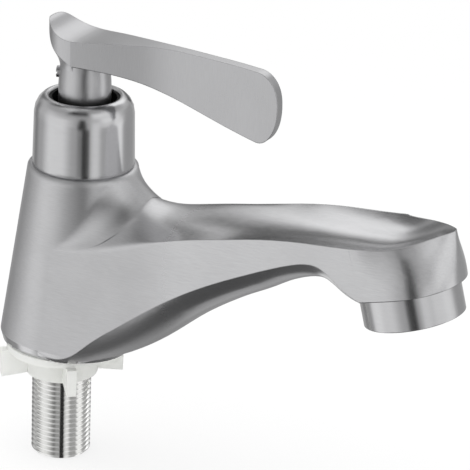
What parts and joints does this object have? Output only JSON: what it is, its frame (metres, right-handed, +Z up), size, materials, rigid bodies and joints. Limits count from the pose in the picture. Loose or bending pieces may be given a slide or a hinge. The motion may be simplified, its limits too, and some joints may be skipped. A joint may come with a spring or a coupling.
{
  "type": "basin tap",
  "caption": "Basin pillar tap in brushed steel with a dished curved spout, a single quarter-turn lever, a round nozzle and a threaded shank with a plastic fixing nut.",
  "frame": {"origin": "on the threaded shank's axis, in the plane of the foot that stands on the basin", "axes": "+X along the spout, from the column to the nozzle; +Z up, along the shank; the lever is closed and points along +X over the spout"},
  "size_m": [0.1744, 0.0392, 0.1621],
  "materials": {
    "body_steel": "satin",
    "lever_steel": "satin",
    "cover_steel": "satin",
    "nozzle_steel": "satin",
    "thread_steel": "polished",
    "inner_steel": "machined",
    "screen_steel": "fine perforated",
    "nut_plastic": "milky translucent",
    "black_plastic": "matt",
    "insert_plastic": "matt",
    "headwork_brass": "machined",
    "disc_ceramic": "lapped",
    "carrier_plastic": "matt",
    "rubber": "matt",
    "fibre": "matt fibre"
  },
  "bodies": {
    "tap": {"tap_body": "body_steel", "inlet_shank": "thread_steel", "shank_gasket": "fibre", "bonnet_cover": "cover_steel", "bonnet_liner": "black_plastic", "cartridge_housing": "headwork_brass", "headwork_washer": "fibre", "seat_seal": "rubber", "fixed_disc": "disc_ceramic", "thrust_washer": "carrier_plastic", "aerator_housing": "nozzle_steel", "aerator_washer": "rubber", "aerator_insert": "insert_plastic", "aerator_screen": "screen_steel"},
    "handle": {"lever_handle": "lever_steel", "spline_bush": "headwork_brass", "grub_screw": "inner_steel", "screw_plug": "inner_steel", "spindle": "headwork_brass", "spindle_o_rings": "rubber", "spindle_circlip": "inner_steel", "disc_carrier": "carrier_plastic", "moving_disc": "disc_ceramic"},
    "nut": {"fixing_nut": "nut_plastic"}
  },
  "joints": [
    {"name": "handle_turn", "type": "hinge", "parent": "tap", "child": "handle", "pos_m": [0.0074, 0, 0.088], "axis": [0, 0, 1], "range_deg": [0, 90]},
    {"name": "nut_travel", "type": "slide", "parent": "tap", "child": "nut", "axis": [0, 0, -1], "range_m": [0, 0.028]}
  ]
}
